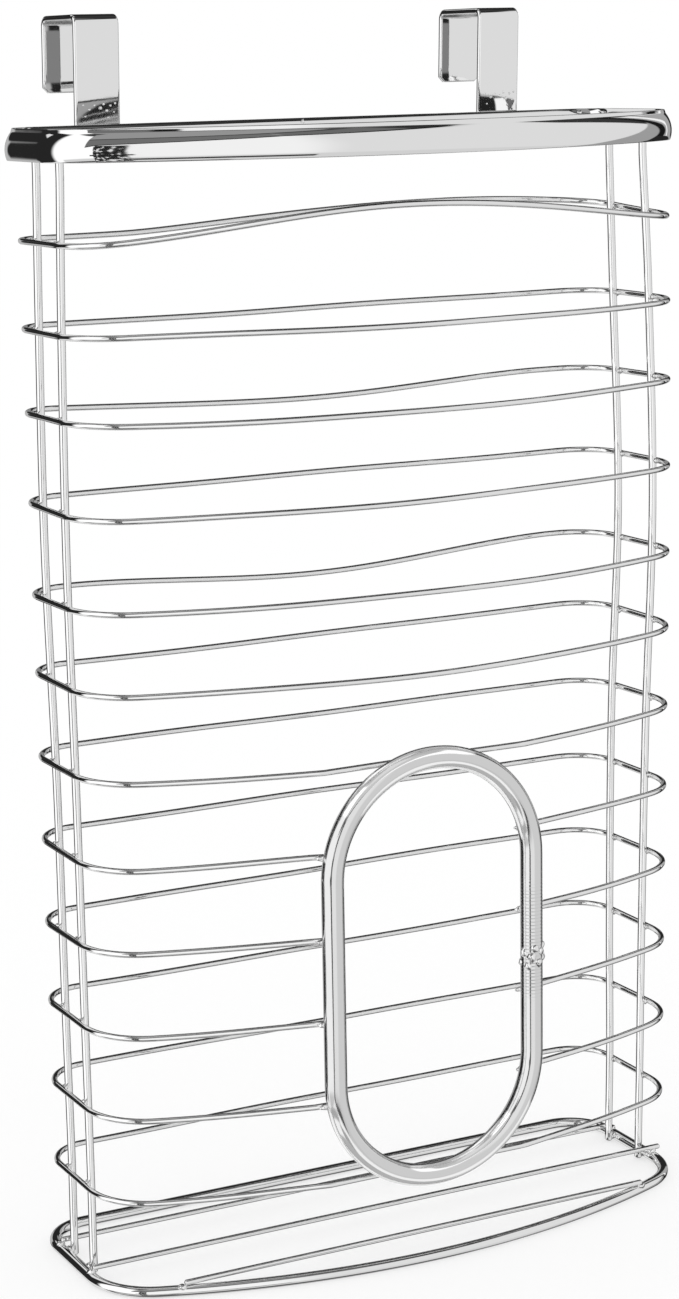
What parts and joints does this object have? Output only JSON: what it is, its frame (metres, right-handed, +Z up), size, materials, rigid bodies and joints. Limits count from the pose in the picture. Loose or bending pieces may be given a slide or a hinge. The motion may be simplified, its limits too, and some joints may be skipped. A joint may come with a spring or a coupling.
{
  "type": "over-the-door plastic bag holder",
  "caption": "Chrome wire basket that hangs over a cabinet door on flat hooks, with a D-shaped rim to stuff bags in and an oval rod loop low on its bowed front to pull them out.",
  "frame": {"origin": "middle of the base of the holder's whole box, level with the underside of the base ring", "axes": "+Z up, +Y from the bowed front towards the door, +X to the right as seen from the front"},
  "size_m": [0.2288, 0.1202, 0.4145],
  "materials": {
    "chrome_wire": "bright plated thin wire",
    "chrome_rod": "bright plated rod",
    "chrome_band": "bright plated flat strip and rim band"
  },
  "bodies": {
    "root": {"rim": "chrome_band", "hook_left": "chrome_band", "hook_right": "chrome_band", "post_left_rear": "chrome_wire", "post_left_front": "chrome_wire", "post_right_rear": "chrome_wire", "post_right_front": "chrome_wire", "ring_01": "chrome_wire", "ring_02": "chrome_wire", "ring_03": "chrome_wire", "ring_04": "chrome_wire", "ring_05": "chrome_wire", "ring_06": "chrome_wire", "ring_07": "chrome_wire", "ring_08": "chrome_wire", "ring_09": "chrome_wire", "ring_10": "chrome_wire", "ring_11": "chrome_wire", "ring_12": "chrome_wire", "dispensing_loop": "chrome_rod", "base_ring": "chrome_rod", "floor_wire_rear": "chrome_wire", "floor_wire_middle": "chrome_wire", "floor_wire_front": "chrome_wire"}
  },
  "joints": []
}
